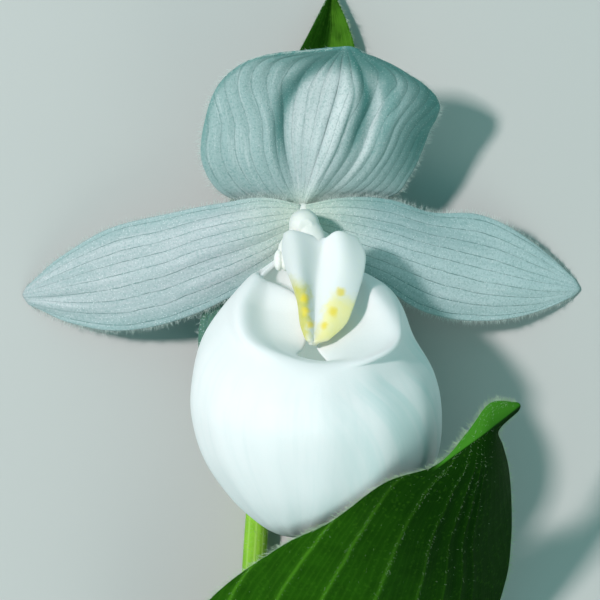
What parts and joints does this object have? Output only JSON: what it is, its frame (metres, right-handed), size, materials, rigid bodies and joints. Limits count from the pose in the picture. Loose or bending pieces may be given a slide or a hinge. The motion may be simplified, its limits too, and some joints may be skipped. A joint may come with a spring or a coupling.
{
  "type": "cypripedium orchid",
  "caption": "White lady's-slipper orchid flower with a rounded pouch, broad sepals and petals, picked with its bract and a pleated leaf, lying on its back.",
  "frame": {"origin": "on the surface it lies on, under the place where the two petals meet", "axes": "+Y up the flower, from the cut stem to the dorsal sepal; +X to the right of someone who looks into the flower; +Z out of its face, away from the surface"},
  "size_m": [0.0811, 0.145, 0.0406],
  "materials": {
    "stem": "satin",
    "leaf": "satin",
    "tepal": "matte",
    "lip": "satin",
    "cream": "satin",
    "pollen": "matte"
  },
  "bodies": {
    "root": {"stem": "stem", "leaf": "leaf", "bract": "leaf", "ovary": "stem", "dorsal_sepal": "tepal", "synsepal": "tepal", "petal_left": "tepal", "petal_right": "tepal", "slipper": "lip", "column": "cream", "anther_left": "pollen", "anther_right": "pollen", "staminode": "cream"}
  },
  "joints": []
}
